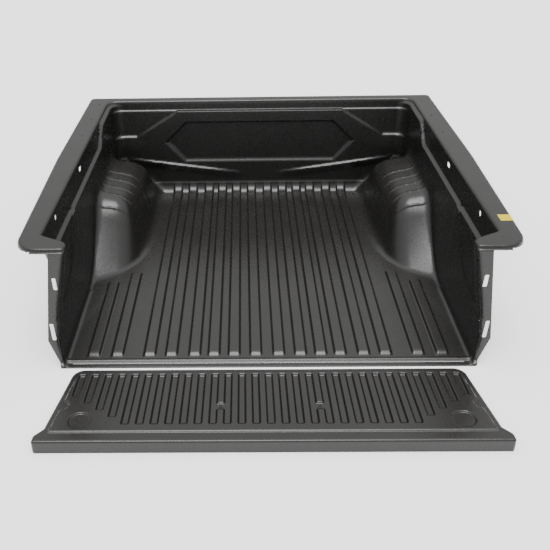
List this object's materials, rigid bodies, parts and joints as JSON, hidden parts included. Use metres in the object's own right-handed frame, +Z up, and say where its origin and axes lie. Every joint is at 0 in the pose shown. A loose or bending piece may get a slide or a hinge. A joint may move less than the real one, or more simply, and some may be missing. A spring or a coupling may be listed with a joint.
{
  "type": "truck bed liner",
  "caption": "Over-rail truck bed liner: formed tub with ribbed floor, wheel-arch humps and embossed headboard, with a hinged ribbed tailgate panel.",
  "frame": {"origin": "centre of the footprint, on the surface the liner stands on", "axes": "+X to the right seen from the tailgate, +Y towards the headboard, +Z up"},
  "size_m": [1.74, 1.9316, 0.5004],
  "materials": {
    "black_sheet": "fine-grained formed polyethylene",
    "black_rubber": "moulded",
    "yellow_film": "printed film, blank",
    "black_steel": "black zinc",
    "black_nylon": "moulded"
  },
  "bodies": {
    "tub": {"bed_tub": "black_sheet", "drain_plug": "black_rubber", "inspection_label": "yellow_film"},
    "tailgate": {"tailgate_panel": "black_sheet", "tailgate_screws": "black_steel", "tailgate_washers": "black_nylon"}
  },
  "joints": [
    {"name": "tailgate_swing", "type": "hinge", "parent": "tub", "child": "tailgate", "pos_m": [0, -0.58417, 0], "axis": [-1, 0, 0], "range_deg": [0, 84.6]}
  ]
}
